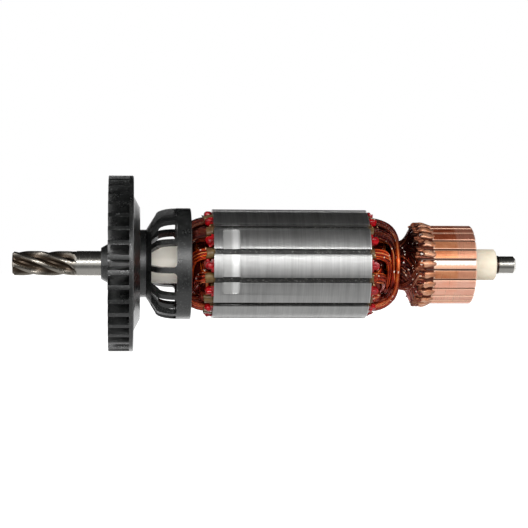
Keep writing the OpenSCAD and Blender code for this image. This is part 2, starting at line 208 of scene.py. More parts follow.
def core_steel():
    """Ground laminations: fine lines round the core, painted shade in slots and end faces, a
    painted highlight band on the balancing cut's floor and a painted highlight rim at the
    commutator's end."""
    s = Shader("core_steel", Metallic=1.0)
    x, r = s.station(), s.radius()
    pitch = 0.5 * MM
    wave = s.math("SINE", s.math("MULTIPLY", x, 2 * math.pi / pitch))
    sheets = s.noise(1900, 3, (1, 0.03, 0.03), 0.7)
    streaks = s.noise(420, 2, (1, 0.1, 0.1))
    smears = s.noise(60, 4, (0.35, 1, 1))
    tone = s.math("ADD", s.math("MULTIPLY", sheets, 0.6), s.math("MULTIPLY", streaks, 0.4))
    base = s.mix(s.span(tone, 0.35, 0.65), (0.50, 0.50, 0.495), (0.68, 0.68, 0.67))
    base = s.mix(s.span(smears, 0.55, 0.8, 0, 0.35), base, (0.38, 0.38, 0.375))
    # Painted shade: below the tooth tips, in the slots and on the end faces, the steel is near
    # black
    painted_slot_shade = s.span(r, core_r - 1.6 * MM, core_r - 1.0 * MM, 1, 0)
    base = s.mix(s.math("MULTIPLY", painted_slot_shade, 0.85), base, (0.05, 0.05, 0.05))
    cut_floor = core_r - 0.8 * MM
    cut = s.between(r, cut_floor - 0.15 * MM, cut_floor + 0.2 * MM, 0.05 * MM)
    cut = s.math("MULTIPLY", cut, s.between(x, core_start + 3 * MM, core_start + 11 * MM, 0.1 * MM))
    # Painted highlight: a nearly white band across the cut's floor
    painted_cut_highlight = s.between(x, core_start + 7.2 * MM, core_start + 9.8 * MM, 0.6 * MM)
    base = s.mix(cut, base, s.mix(painted_cut_highlight, (0.54, 0.54, 0.53), (0.88, 0.88, 0.87)))
    # Painted highlight along the core's rim at the commutator's end
    painted_rim_highlight = s.math("MULTIPLY", s.span(x, core_end - 0.45 * MM, core_end - 0.25 * MM),
                 s.span(r, core_r - 0.6 * MM, core_r - 0.4 * MM))
    base = s.mix(s.math("MULTIPLY", painted_rim_highlight, 0.8), base, (0.93, 0.93, 0.92))
    s.feed("Base Color", base)
    s.feed("Metallic", s.span(cut, 0, 1, 1, 0.7))
    s.feed("Roughness", s.span(sheets, 0.3, 0.7, 0.34, 0.46))
    s.bump(s.math("ADD", wave, sheets), 0.012 * MM)
    s.bump(streaks, 0.02 * MM)
    return s.material


def black_nylon():
    """Glass-filled moulding: satin, finely grained and a little dusty."""
    s = Shader("black_nylon", Metallic=0.0, Specular_IOR_Level=1.0, Coat_Weight=0.5,
               Coat_Roughness=0.3)
    grain = s.noise(1700, 3)
    dust = s.noise(130, 4)
    base = s.mix(s.span(dust, 0.4, 0.75), (0.004, 0.0045, 0.0045), (0.012, 0.013, 0.0125))
    base = s.mix(s.span(grain, 0.58, 0.70, 0, 0.6), base, (0.11, 0.115, 0.11))
    s.feed("Base Color", base)
    s.feed("Roughness", s.span(dust, 0.3, 0.7, 0.24, 0.38))
    s.bump(s.noise(240, 2), 0.06 * MM)
    s.bump(grain, 0.06 * MM)
    return s.material


def cream_plastic():
    """Moulded insulation, speckled, and painted lighter towards the fan against the guard's shade.
    """
    s = Shader("cream_plastic", Metallic=0.0, Subsurface_Weight=0.05, Subsurface_Scale=0.001)
    mottle = s.noise(180, 5)
    spots = s.noise(900, 2)
    base = s.mix(s.span(mottle, 0.35, 0.7), (0.88, 0.80, 0.65), (0.80, 0.70, 0.53))
    # Painted light: lighter from the core towards the fan, to make up for the shade in the guard's
    # windows
    base = s.mix(s.span(s.station(), core_start, core_end, 1, 0), base, (1.0, 0.95, 0.84))
    base = s.mix(s.span(spots, 0.70, 0.78, 0, 0.5), base, (0.38, 0.28, 0.17))
    s.feed("Base Color", base)
    s.feed("Roughness", s.span(mottle, 0.3, 0.7, 0.36, 0.5))
    s.bump(s.noise(420, 3), 0.03 * MM)
    return s.material


def red_resin(name):
    """Red fibre under a thick coat of glossy resin."""
    s = Shader(name, Metallic=0.0, Specular_IOR_Level=0.3, Coat_Weight=0.9, Coat_Roughness=0.04)
    cloud = s.noise(500, 3)
    base = s.mix(s.span(cloud, 0.35, 0.7), (0.46, 0.003, 0.008), (0.15, 0.001, 0.003))
    s.feed("Base Color", base)
    s.feed("Roughness", s.span(cloud, 0.3, 0.7, 0.1, 0.25))
    s.bump(s.noise(700, 3), 0.15 * MM)
    return s.material


def phenolic():
    """The commutator's brown moulding."""
    s = Shader("phenolic", Metallic=0.0)
    fleck = s.noise(1200, 3)
    base = s.mix(s.span(fleck, 0.4, 0.7), (0.085, 0.034, 0.022), (0.17, 0.070, 0.042))
    s.feed("Base Color", base)
    s.feed("Roughness", s.span(fleck, 0.3, 0.7, 0.4, 0.6))
    s.bump(fleck, 0.03 * MM)
    return s.material


def bar_copper(name, light, deep, metallic, painted_highlight=0.0):
    """Commutator copper: turned lines and brush marks on the track, a painted highlight along the
    edges and painted shade under the hooks and down the sides. A bar with a painted highlight is
    nearly white along its upper half."""
    s = Shader(name, Metallic=metallic)
    x, r = s.station(), s.radius()
    lines = s.noise(3600, 3, (1, 0.02, 0.02), 0.7)
    cloud = s.noise(300, 4, (0.5, 1, 1))
    rubbed = s.span(x, track_start + 8.6 * MM, track_start + 9.4 * MM)
    halfway = tuple(0.5 * (a + b) for a, b in zip(light, deep))
    face = s.mix(s.span(lines, 0.35, 0.65), light, halfway)
    face = s.mix(s.span(cloud, 0.44, 0.66), face, deep)
    face = s.mix(s.math("MULTIPLY", rubbed, 0.35), face, (0.84, 0.46, 0.36))
    # Painted highlight: the upper half of the face turns nearly white
    if painted_highlight:
        upper = s.math("ADD", s.height(), s.math("MULTIPLY", s.noise(900, 3), 1.2 * MM))
        face = s.mix(s.span(upper, 0.1 * MM, 0.8 * MM, 0, painted_highlight), face, (1.0, 0.94, 0.88))
    # Painted highlight along the bars' upper edges
    edge = s.between(r, track_r - 0.36 * MM, track_r - 0.05 * MM, 0.02 * MM)
    face = s.mix(s.math("MULTIPLY", edge, 0.8), face, (1.0, 0.70, 0.52))
    # Painted shade under the hooks and down the bars' sides
    under = s.span(x, track_start - 0.9 * MM, track_start - 0.5 * MM, 1, 0)
    side = s.span(r, track_r - 0.7 * MM, track_r - 0.38 * MM, 1, 0)
    s.feed("Base Color", s.mix(s.math("MAXIMUM", under, side), face, (0.14, 0.035, 0.018)))
    s.feed("Roughness", s.span(lines, 0.3, 0.7, 0.26, 0.36))
    s.bump(lines, 0.003 * MM)
    s.bump(s.noise(120, 2), 0.05 * MM)
    return s.material


def fused_copper(name, light, deep):
    """The hooks, or the wires beside them, after hot pressing, darker low down and at the left end.
    """
    s = Shader(name, Metallic=0.7)
    x, r = s.station(), s.radius()
    cloud = s.noise(420, 4)
    base = s.mix(s.span(cloud, 0.38, 0.62), light, deep)
    # Low down and at the left end the copper is dark: partly burnt, partly painted shade in the
    # crevices
    low = s.span(r, hook_r - 1.1 * MM, hook_r - 0.35 * MM, 1, 0)
    left = s.span(x, bar_start + 0.2 * MM, bar_start + 2.2 * MM, 1, 0)
    burnt = s.math("MULTIPLY", s.math("MAXIMUM", low, left), s.span(cloud, 0.3, 0.6, 0.8, 0.4))
    s.feed("Base Color", s.mix(burnt, base, (0.20, 0.05, 0.025)))
    s.feed("Roughness", s.span(cloud, 0.3, 0.7, 0.22, 0.42))
    s.bump(s.noise(520, 3), 0.25 * MM)
    return s.material


def paper():
    """Resin-soaked tan paper, painted dark as shade where it lies inside the core."""
    s = Shader("paper", Metallic=0.0, Specular_IOR_Level=0.25, Coat_Weight=0.5, Coat_Roughness=0.06)
    tan, shaded, dark = (0.17, 0.105, 0.036), (0.0935, 0.05775, 0.0198), (0.018, 0.018, 0.017)
    x = s.station()
    fibre = s.noise(800, 4, (0.3, 1, 1))
    soak = s.noise(260, 3)
    outside = s.mix(s.span(fibre, 0.35, 0.65), tan, shaded)
    outside = s.mix(s.span(soak, 0.44, 0.62, 0, 0.85), outside, (0.10, 0.045, 0.018))
    # Painted shade: inside the core the paper turns near black, with lighter flecks
    inside = s.between(x, core_start + 0.4 * MM, core_end - 0.4 * MM, 0.3 * MM)
    flecks = s.span(s.noise(1500, 3), 0.56, 0.68, 0, 0.4)
    s.feed("Base Color", s.mix(inside, outside, s.mix(flecks, dark, (0.30, 0.30, 0.28))))
    s.feed("Roughness", s.span(soak, 0.3, 0.7, 0.3, 0.55))
    s.bump(s.noise(520, 3), 0.1 * MM)
    return s.material


def enamel(name, light, deep, metallic=0.9):
    """Copper wire under clear red-brown enamel, with painted shade on top and a pinker painted
    reflection low down.
    """
    s = Shader(name, Metallic=metallic, Coat_Weight=0.45, Coat_Roughness=0.05,
               Specular_Tint=(0.6, 0.16, 0.07, 1))
    cloud = s.noise(240, 3)
    base = s.mix(s.span(cloud, 0.36, 0.64), light, deep)
    # Painted light by height: near black on top of the windings as shade, pinker low down as
    # painted reflection
    painted_light_height = s.math("ADD", s.height(), s.math("MULTIPLY", s.noise(110, 2), 12 * MM))
    base = s.mix(s.span(painted_light_height, 10 * MM, 18 * MM, 0, 0.92), base, (0.055, 0.006, 0.005))
    base = s.mix(s.span(painted_light_height, -5 * MM, 3 * MM, 0.55, 0), base, (0.36, 0.06, 0.045))
    s.feed("Base Color", base)
    s.feed("Roughness", s.span(cloud, 0.3, 0.7, 0.16, 0.30))
    s.bump(s.noise(1500, 2), 0.02 * MM)
    return s.material


def resin_drop():
    """Clear hardened resin."""
    s = Shader("resin_drop", Metallic=0.0, Coat_Weight=1.0, Coat_Roughness=0.03, Roughness=0.1)
    cloud = s.noise(600, 2)
    s.feed("Base Color", s.mix(s.span(cloud, 0.4, 0.6), (0.42, 0.20, 0.07), (0.62, 0.42, 0.22)))
    return s.material


MATERIALS = {
    "turned_steel": turned_steel(),
    "cream_plastic": cream_plastic(),
    "black_nylon": black_nylon(),
    "core_steel": core_steel(),
    "red_fibre": red_resin("red_fibre"),
    "phenolic": phenolic(),
    "paper": paper(),
}
# Tones of the bars' copper: on the near side they stand in for light and shade as well
BAR_COPPERS = {
    "dark": bar_copper("bar_copper_dark", (0.70, 0.18, 0.08), (0.42, 0.075, 0.025), 0.75),
    "warm": bar_copper("bar_copper_warm", (0.88, 0.38, 0.19), (0.70, 0.22, 0.09), 0.65),
    "pale": bar_copper("bar_copper_pale", (0.96, 0.56, 0.36), (0.90, 0.42, 0.24), 0.6),
    "bright": bar_copper("bar_copper_bright", (0.97, 0.62, 0.44), (0.90, 0.46, 0.28), 0.55, 0.9),
    "pink": bar_copper("bar_copper_pink", (0.99, 0.56, 0.42), (0.95, 0.42, 0.28), 0.5),
}
# Shades of one piece of wire, which its faces name by their place in the list
WIRE_SHADES = [
    enamel("enamel_orange", (0.84, 0.10, 0.012), (0.48, 0.040, 0.007), 0.72),
    enamel("enamel_amber", (0.95, 0.20, 0.02), (0.66, 0.08, 0.010), 0.66),
    enamel("enamel_red", (0.60, 0.035, 0.010), (0.30, 0.014, 0.006), 0.85),
    enamel("enamel_maroon", (0.24, 0.020, 0.010), (0.11, 0.009, 0.007)),
    enamel("enamel_pale", (0.98, 0.36, 0.12), (0.76, 0.16, 0.04), 0.66),
    # A nearly white painted glint, laid over short bits of wire
    enamel("painted_glint_enamel", (1.0, 0.93, 0.86), (0.96, 0.74, 0.58), 0.4),
]
# MAROON, the darkest enamel, also fills the bundles and the space under them as painted shade
MAROON, WIRE_GLINT = 3, 5
# How often each shade but the painted glint's is drawn: on the coils, and on the turns under them,
# which draw mostly the dark ones as painted shade
COIL_SHARES = (28, 17, 28, 17, 10)
INNER_SHARES = (14, 8, 35, 43, 0)
LEAD_SHADES = [
    enamel("lead_dark", (0.11, 0.014, 0.009), (0.04, 0.006, 0.005)),
    enamel("lead_copper", (0.50, 0.13, 0.05), (0.22, 0.04, 0.02)),
    enamel("lead_pale", (0.90, 0.50, 0.32), (0.62, 0.24, 0.12)),
    # A nearly white painted glint, laid over short bits of lead
    enamel("painted_glint_lead", (1.0, 0.93, 0.86), (0.96, 0.74, 0.58), 0.4),
]
LEAD_GLINT = 3
# The same for the leads, and for those that cross over them
LEAD_SHARES = (74, 20, 6)
CROSSING_SHARES = (40, 55, 5)


# ---- CAD nodes that stay ----

def finish_node(name, material, bevel=0.0, angle=38):
    """Gives a CAD node its material, a small broken edge and smooth shading up to an angle."""
    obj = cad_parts[name]
    mesh = obj.data
    obj.material_slots[0].material = material
    for polygon in mesh.polygons:
        polygon.use_smooth = True
    for extra in ("custom_normal", "sharp_edge", "sharp_face"):
        if extra in mesh.attributes:
            mesh.attributes.remove(mesh.attributes[extra])
    weld = obj.modifiers.new("weld", "WELD")
    weld.merge_threshold = 0.002 * MM
    if bevel:
        edge = obj.modifiers.new("edge", "BEVEL")
        edge.width = bevel
        edge.segments = 2
        edge.limit_method = "ANGLE"
        edge.angle_limit = math.radians(50)
        edge.use_clamp_overlap = True
        edge.miter_outer = "MITER_ARC"
    split = obj.modifiers.new("split", "EDGE_SPLIT")
    split.split_angle = math.radians(angle)


finish_node("shaft", MATERIALS["turned_steel"], 0.06 * MM, 32)
finish_node("insulating_sleeve", MATERIALS["cream_plastic"], 0.12 * MM)
finish_node("fan", MATERIALS["black_nylon"], 0.1 * MM)
finish_node("winding_guard", MATERIALS["black_nylon"], 0.12 * MM)
finish_node("lamination_stack", MATERIALS["core_steel"], 0.05 * MM)
finish_node("end_insulator_drive", MATERIALS["red_fibre"], 0.15 * MM)
finish_node("end_insulator_commutator", MATERIALS["red_fibre"], 0.15 * MM)
finish_node("commutator_hub", MATERIALS["phenolic"])
for i in range(SLOTS):
    finish_node("slot_liner_%02d" % (i + 1), MATERIALS["paper"])


# ---- wires ----

class Bundle:
    """Collects wires, tubes and lumps into one mesh."""

    def __init__(self):
        self.points, self.faces, self.shades = [], [], []

    def wire(self, line, radius, shade, sides=7, closed=False):
        """A round wire along a line of points. radius is one number, or one for each point."""
        n = len(line)
        first = len(self.points)
        side = None
        for i, p in enumerate(line):
            ahead = line[(i + 1) % n] if closed or i < n - 1 else p
            behind = line[i - 1] if closed or i > 0 else p
            along = (ahead - behind).normalized()
            if side is None:
                side = along.orthogonal()
            side = (side - along * side.dot(along)).normalized()
            up = along.cross(side)
            r = radius[i] if isinstance(radius, list) else radius
            for k in range(sides):
                a = 2 * math.pi * k / sides
                self.points.append(p + (side * math.cos(a) + up * math.sin(a)) * r)
        self.skin(first, n, sides, shade, closed)

    def ring_tube(self, rings, shade):
        """A closed tube through rings of points."""
        first = len(self.points)
        for ring in rings:
            self.points.extend(ring)
        self.skin(first, len(rings), len(rings[0]), shade, True)

    def skin(self, first, n, sides, shade, closed):
        """Faces between n rings of points, the first of which starts at point first."""
        twist = 0
        if closed:
            # The last ring meets the first one at its nearest point
            last, start = first + (n - 1) * sides, self.points[first]
            twist = min(range(sides), key=lambda k: (self.points[last + k] - start).length)
        for i in range(n if closed else n - 1):
            j = (i + 1) % n
            shift = twist if j == 0 else 0
            for k in range(sides):
                a = first + i * sides + (k + shift) % sides
                b = first + i * sides + (k + 1 + shift) % sides
                c = first + j * sides + (k + 1) % sides
                d = first + j * sides + k
                self.faces.append((a, b, c, d))
                self.shades.append(shade)
        if not closed:
            self.faces.append([first + k for k in range(sides)][::-1])
            self.faces.append([first + (n - 1) * sides + k for k in range(sides)])
            self.shades += [shade, shade]

    def piece(self, name, materials, slot, *replaced):
        """The object that shows the mesh, in place of the CAD nodes that it replaces."""
        mesh = bpy.data.meshes.new(name)
        mesh.from_pydata(self.points, [], self.faces)
        for material in materials:
            mesh.materials.append(material)
        for polygon, shade in zip(mesh.polygons, self.shades):
            polygon.material_index = shade
            polygon.use_smooth = True
        obj = bpy.data.objects.new(name, mesh)
        bpy.context.scene.collection.objects.link(obj)
        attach(obj, "root")
        if replaced:
            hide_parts(*replaced)
        return obj


def waves(rng, low, high, count=3):
    """A smooth closed wander: a function of 0..1 that stays within about -1..1."""
    parts = [(rng.randint(low, high), rng.random(), rng.uniform(0.5, 1)) for _ in range(count)]
    total = sum(p[2] for p in parts)
    return lambda s: sum(w * math.sin(2 * math.pi * (f * s + q)) for f, q, w in parts) / total


def squircle(angle, power):
    """The point at an angle on a square with rounded corners, of half size 1."""
    c, d = math.cos(angle), math.sin(angle)
    reach = (abs(c) ** power + abs(d) ** power) ** (-1 / power)
    return c * reach, d * reach


# The coils' own sizes, as in the part's source
LAYERS = 6
COIL_SPAN = 5 * SLOT_PITCH
FIRST_COIL_ANGLE = 227
INNER_SIDE_R, INNER_SIDE_W = 14.75 * MM, 2.7 * MM
OUTER_SIDE_R, OUTER_SIDE_W = 17.9 * MM, 4.4 * MM
SIDE_T = 2.9 * MM
TURN_W, TURN_T = 3.5 * MM, 1.75 * MM
HUG_R = sleeve_r + 0.25 * MM + TURN_W / 2
FIRST_TURN_RISE = 1.5 * MM
WIRE_R = 0.29 * MM
STRANDS = 18


def half_turn(side_r, side_w, height, power, steps=11):
    """Half of an end turn, as rows of radius, angle from the slot, height over the core, thickness,
    width, and the normal's parts outwards and along the shaft."""
    rows = []
    for i in range(steps + 1):
        a = math.pi / 2 * i / steps
        u, v = max(math.cos(a), 0) ** (2 / power), math.sin(a) ** (2 / power)
        r = HUG_R + (side_r - HUG_R) * u
        angle = math.degrees(math.acos(HUG_R / side_r) - math.acos(min(1, HUG_R / r)))
        out = Vector((u ** (power - 1) / (side_r - HUG_R), v ** (power - 1) / height)).normalized()
        f = v * v
        rows.append((r, angle, height * v, SIDE_T + (TURN_T - SIDE_T) * f,
                     side_w + (TURN_W - side_w) * f, out.x, out.y))
    return rows


def end_turn(layer, height):
    """A whole end turn, with its angle counted from the first slot."""
    ends = []
    for outer in (layer == LAYERS - 1, layer > 0):
        power = 5 - 0.55 * layer if outer else 5.5 - 0.65 * layer
        ends.append(half_turn(OUTER_SIDE_R if outer else INNER_SIDE_R,
                              OUTER_SIDE_W if outer else INNER_SIDE_W, height, power))
    first, last = ends
    top_r, start, *sizes, _, _ = first[-1]
    end = COIL_SPAN - last[-1][1]
    hug = [(top_r, start + (end - start) * i / 6, *sizes, 0, 1) for i in range(1, 6)]
    return first + hug + [(r, COIL_SPAN - swing, *rest) for r, swing, *rest in reversed(last)]


def turn_frames(turn, angle, base, direction):
    """Where the bundle runs over one core face: centre, across, up, half width, half thickness, and
    how freely its wires may stray."""
    line = [at(base + direction * rise, r, angle - swing) for r, swing, rise, *_ in turn]
    end = len(turn) - 1
    frames = []
    for i, (_, swing, _, thick, wide, outwards, lengthways) in enumerate(turn):
        if i in (0, end):
            along = Vector((direction if i == 0 else -direction, 0, 0))
        else:
            along = (line[i + 1] - line[i - 1]).normalized()
        raw = at(0, 1, angle - swing) * outwards
        raw.x = direction * lengthways
        up = (raw - along * raw.dot(along)).normalized()
        freedom = min(1, 1.6 * math.sin(math.pi * i / end))
        frames.append((line[i], up.cross(along), up, wide / 2, thick / 2, freedom))
    return frames


def coil_frames(index):
    """The bundle's way round the whole coil, as a closed loop of frames."""
    layer = index % LAYERS
    angle = FIRST_COIL_ANGLE - index * SLOT_PITCH

    def height(overhang):
        step = (overhang - FIRST_TURN_RISE - TURN_T / 2) / (LAYERS - 0.55)
        return overhang - TURN_T / 2 - (LAYERS - 1 - layer) * step

    bar_end = turn_frames(end_turn(layer, height(bar_end_overhang)), angle, core_end, 1)
    fan_end = turn_frames(end_turn(layer, height(fan_end_overhang)), angle, core_start, -1)
    back = [(p, -across, up, w, t, free) for p, across, up, w, t, free in reversed(fan_end)]
    return bar_end + back


def add_painted_glint(bundle, line, shade, rng):
    """A painted glint: a short, nearly white piece over a wire, along its line but not in a slot.
    """
    i = rng.randrange(len(line) - 1)
    run = line[i + 1] - line[i]
    if run.length < 4 * MM:
        a = line[i] + run * rng.uniform(0.1, 0.6)
        b = a + run.normalized() * rng.uniform(0.3, 1.0) * MM
        radius = WIRE_R * rng.uniform(1.06, 1.16)
        bundle.wire([a, a.lerp(b, 0.3), a.lerp(b, 0.7), b], radius, shade, sides=6)


def coil_piece(index):
    """One coil: single wires on its bundle's skin, over a dark maroon heart that fills it as
    painted shade.
    """
    rng = random.Random(100 + index)
    loop = coil_frames(index)
    n = len(loop)
    bundle = Bundle()
    heart = []
    for p, across, up, w, t, free in loop:
        ring = []
        for k in range(8):
            a = math.pi * (k + 0.5) / 4
            ring.append(p + across * math.cos(a) * (w - 0.35 * MM)
                        + up * math.sin(a) * (t - 0.3 * MM))
        heart.append(ring)
    bundle.ring_tube(heart, MAROON)
    for k in range(STRANDS):
        drift, swell = waves(rng, 2, 7), waves(rng, 3, 9)
        stray = rng.random() < 0.28
        reach = rng.uniform(0.10, 0.24) if stray else rng.uniform(0.02, 0.05)
        line = []
        for i, (p, across, up, w, t, free) in enumerate(loop):
            s = i / n
            a = 2 * math.pi * (k / STRANDS + reach * free * drift(s))
            grow = 1 + free * ((0.30 if stray else 0.10) + 0.14 * swell(s))
            c, d = squircle(a, 3)
            line.append(p + across * (c * (w - WIRE_R) * (1 + (grow - 1) * 0.5))
                        + up * (d * (t - WIRE_R) * grow))
        shade = rng.choices(range(WIRE_GLINT), COIL_SHARES)[0]
        bundle.wire(line, WIRE_R * rng.uniform(0.94, 1.04), shade, closed=True)
        # Painted glints along the strand
        for _ in range(2):
            add_painted_glint(bundle, line, WIRE_GLINT, rng)
    number = "%02d" % (index + 1)
    bundle.piece("coil_wires_" + number, WIRE_SHADES, "enamelled_wire", "coil_" + number)


for i in range(SLOTS):
    coil_piece(i)


def smooth_line(points, per_span=6):
    """A Catmull-Rom line through the points."""
    padded = [points[0] * 2 - points[1]] + points + [points[-1] * 2 - points[-2]]
    line = []
    for i in range(1, len(padded) - 2):
        p0, p1, p2, p3 = padded[i - 1:i + 3]
        for j in range(per_span):
            t = j / per_span
            line.append(0.5 * ((2 * p1) + (p2 - p0) * t + (2 * p0 - 5 * p1 + 4 * p2 - p3) * t * t
                               + (3 * p1 - p0 - 3 * p2 + p3) * t ** 3))
    return line + [points[-1]]


# Layers of leads: how far round they swing on their way to a bar, their lift over the cone, and
# how many of the bars they go to
LEAD_LAYERS = [(-75, 0.0, 1), (-58, 0.3, 1), (-40, 0.6, 1), (-24, 0.8, 0.6)]
# Tighter bundles that cross over the rest the other way: their places and wires
CROSSING_AT = (8, 128, 248)
CROSSING_WIRES = 15


def lead_runs(rng):
    """The bar that each lead goes to, its swing and its lift."""
    runs = []
    for i in range(BARS):
        for swing, lift, share in LEAD_LAYERS:
            if rng.random() <= share:
                runs.append((i * BAR_PITCH, swing + rng.uniform(-9, 9),
                             lift + rng.uniform(-0.1, 0.25)))
    for place in CROSSING_AT:
        for _ in range(CROSSING_WIRES):
            runs.append((place + rng.uniform(-16, 20), rng.uniform(60, 76), rng.uniform(1.0, 2.1)))
    return runs


def lead_pieces():
    """Wires from the windings' waist up the cone to the hooks, in crossing layers."""
    rng = random.Random(7)
    bundle = Bundle()
    waist = core_end + bar_end_overhang

    def jog():
        return rng.uniform(-2.5, 2.5)

    for bar, swing, lift in lead_runs(rng):
        side = rng.uniform(-1.6, 1.6)
        points = [
            at(waist - 2.2 * MM, (8.5 + 0.3 * lift) * MM, bar + swing),
            at(waist + 1.0 * MM, (8.7 + 0.7 * lift) * MM, bar + 0.82 * swing + jog()),
            at(waist + 3.4 * MM, (9.9 + 0.8 * lift) * MM, bar + 0.58 * swing + jog()),
            at(waist + 5.0 * MM, (12.1 + 0.7 * lift) * MM, bar + 0.3 * swing + jog()),
            at(waist + 6.0 * MM, (14.3 + 0.5 * lift) * MM, bar + 0.1 * swing + side),
            at(waist + 6.8 * MM, (15.8 + 0.2 * lift) * MM, bar + side),
            at(waist + 8.0 * MM, hook_r - 0.45 * MM, bar + side * 0.6),
            at(waist + 9.4 * MM, hook_r - 0.9 * MM, bar + side * 0.3),
        ]
        shade = rng.choices(range(LEAD_GLINT), LEAD_SHARES if swing < 0 else CROSSING_SHARES)[0]
        line = smooth_line(points, 4)
        bundle.wire(line, 0.30 * MM, shade, sides=6)
        # Painted glints on some leads
        if rng.random() < 0.8:
            add_painted_glint(bundle, line[4:24], LEAD_GLINT, rng)
    bundle.piece("lead_strands", LEAD_SHADES, "enamelled_wire", "lead_wires")


lead_pieces()


# ---- bars, hooks, paper and resin ----

def lump(bundle, centre, axes, halves, shade, rng, roughness=0.12, rings=7, sides=10):
    """An uneven rounded lump with its own axes and half sizes."""
    tilt = waves(rng, 1, 3)
    skew = waves(rng, 1, 2)
    first = len(bundle.points)
    for i in range(rings + 1):
        lat = math.pi * (i + 0.02) / (rings + 0.04) - math.pi / 2
        for k in range(sides):
            lon = 2 * math.pi * k / sides
            swell = 1 + roughness * (tilt(k / sides) + skew(i / rings + 0.37 * k / sides)) / 2
            v = (math.sin(lat), math.cos(lat) * math.cos(lon), math.cos(lat) * math.sin(lon))
            bundle.points.append(centre + sum((a * (h * c * swell) for a, h, c
                                               in zip(axes, halves, v)), Vector()))
    bundle.skin(first, rings + 1, sides, shade, False)


def axes_at(angle):
    """Along the shaft, round it and outwards, at an angle."""
    a = math.radians(angle)
    out = Vector((0, -math.cos(a), -math.sin(a)))
    return Vector((1, 0, 0)), Vector((0, math.sin(a), -math.cos(a))), out


BAR_GAP = 0.6 * MM


def bar_section(top_r):
    """A bar's section as radius and half width, round from its foot to its face and back."""
    foot_r, waist_r = track_r - 5.6 * MM, track_r - 3.6 * MM

    def side(r):
        return r * math.tan(math.radians(BAR_PITCH / 2)) - BAR_GAP / 2

    half = [(foot_r, side(foot_r)), (foot_r + 0.8 * MM, side(foot_r + 0.8 * MM)),
            (waist_r, side(foot_r) - 0.3 * MM), (waist_r + 0.6 * MM, side(waist_r + 0.6 * MM)),
            *((math.sqrt(top_r ** 2 - w ** 2), w) for w in (side(top_r), side(top_r) / 2))]
    return half + [(top_r, 0)] + [(r, -w) for r, w in reversed(half)]


# The bars' tones round the commutator, from the near side down. On the near side they are painted
# as light falls there: dark higher up, a painted highlight on the front bar and pink lower down.
BAR_TONES = ["bright", "warm", "pink", "pink", "pink", "warm", "dark", "warm", "pale", "warm",
             "warm", "dark", "warm", "pale", "pink", "warm", "dark", "warm", "warm", "dark", "dark",
             "dark", "warm", "warm"]


def bar_pieces():
    """The bars, each with its own tone and edges, in place of the CAD's."""
    under_hook_r = track_r - 0.2 * MM
    outline = [(bar_start, under_hook_r), (track_start - 0.8 * MM, under_hook_r),
               (track_start, track_r), (track_end - 0.5 * MM, track_r),
               (track_end, track_r - 0.5 * MM)]
    for i in range(BARS):
        number = "%02d" % (i + 1)
        _, across, out = axes_at(i * BAR_PITCH)
        bundle = Bundle()
        for x, top_r in outline:
            section = bar_section(top_r)
            bundle.points += [Vector((x, 0, 0)) + out * r + across * w for r, w in section]
        bundle.skin(0, len(outline), len(section), 0, False)
        obj = bundle.piece("bar_" + number, [BAR_COPPERS[BAR_TONES[i]]], "bar_copper",
                           "commutator_bar_" + number)
        for polygon in obj.data.polygons:
            polygon.use_smooth = polygon.normal.dot(out) > 0.97
        edge = obj.modifiers.new("edge", "BEVEL")
        edge.width = 0.34 * MM
        edge.segments = 2
        edge.angle_limit = math.radians(50)
        edge.limit_method = "ANGLE"


# A hook from its bend to its tip: share of its length, and in mm its half width and its height
# over the track
HOOK = [(0, 0.4, 0.2), (0.06, 0.85, 0.8), (0.16, 1.15, 1.2), (0.30, 1.36, 1.42), (0.46, 1.42, 1.40),
        (0.60, 1.36, 1.18), (0.74, 1.18, 0.78), (0.88, 0.92, 0.36), (1, 0.65, 0.03)]
# Half sizes of the burnt lumps beside a hook, in mm: along the shaft, across and outwards
BURNT_HALVES = [(0.7, 1.4), (0.4, 0.9), (0.4, 0.7)]
HOOK_SHADE, BURNT_SHADE = 0, 1


def hook_pieces():
    """Hooks like short fingers, hot-pressed over the wires, with burnt copper between them."""
    rng = random.Random(21)
    bundle = Bundle()
    start, end, sides = bar_start + 0.3 * MM, track_start + 0.5 * MM, 16
    for i in range(BARS):
        _, across, out = axes_at(i * BAR_PITCH + rng.uniform(-1.6, 1.6))
        drift, swell, lift = waves(rng, 1, 2), waves(rng, 1, 3), rng.uniform(-0.35, 0.05)
        long = rng.uniform(0.82, 1.08)
        first = len(bundle.points)
        for share, half, high in HOOK:
            x = start + (end - start) * (1 - (1 - share) * long)
            half = half * (1 + 0.2 * swell(share)) * MM
            top = track_r + (high + lift * min(1, high)) * MM
            low = track_r - 0.5 * MM
            for k in range(sides):
                c, d = squircle(2 * math.pi * k / sides, 2.6)
                wide = c * half + 0.45 * MM * drift(share)
                r = (top + low) / 2 + (top - low) / 2 * d
                bundle.points.append(Vector((x, 0, 0)) + out * r + across * wide)
        bundle.skin(first, len(HOOK), sides, HOOK_SHADE, False)
        for _ in range(5):
            angle = i * BAR_PITCH + rng.uniform(-7, 7)
            back = rng.uniform(-1.4, 0.7) * MM
            place = at(bar_start - back, rng.uniform(15.6, 16.6) * MM - 1.1 * max(back, 0), angle)
            halves = [rng.uniform(low, high) * MM for low, high in BURNT_HALVES]
            lump(bundle, place, axes_at(angle), halves, BURNT_SHADE, rng, 0.3)
    shades = [fused_copper("hook_copper", (0.95, 0.54, 0.36), (0.78, 0.32, 0.16)),
              fused_copper("burnt_copper", (0.60, 0.24, 0.12), (0.24, 0.07, 0.035))]
    obj = bundle.piece("hooks", shades, "bar_copper")
    obj.modifiers.new("round", "SUBSURF").render_levels = 1


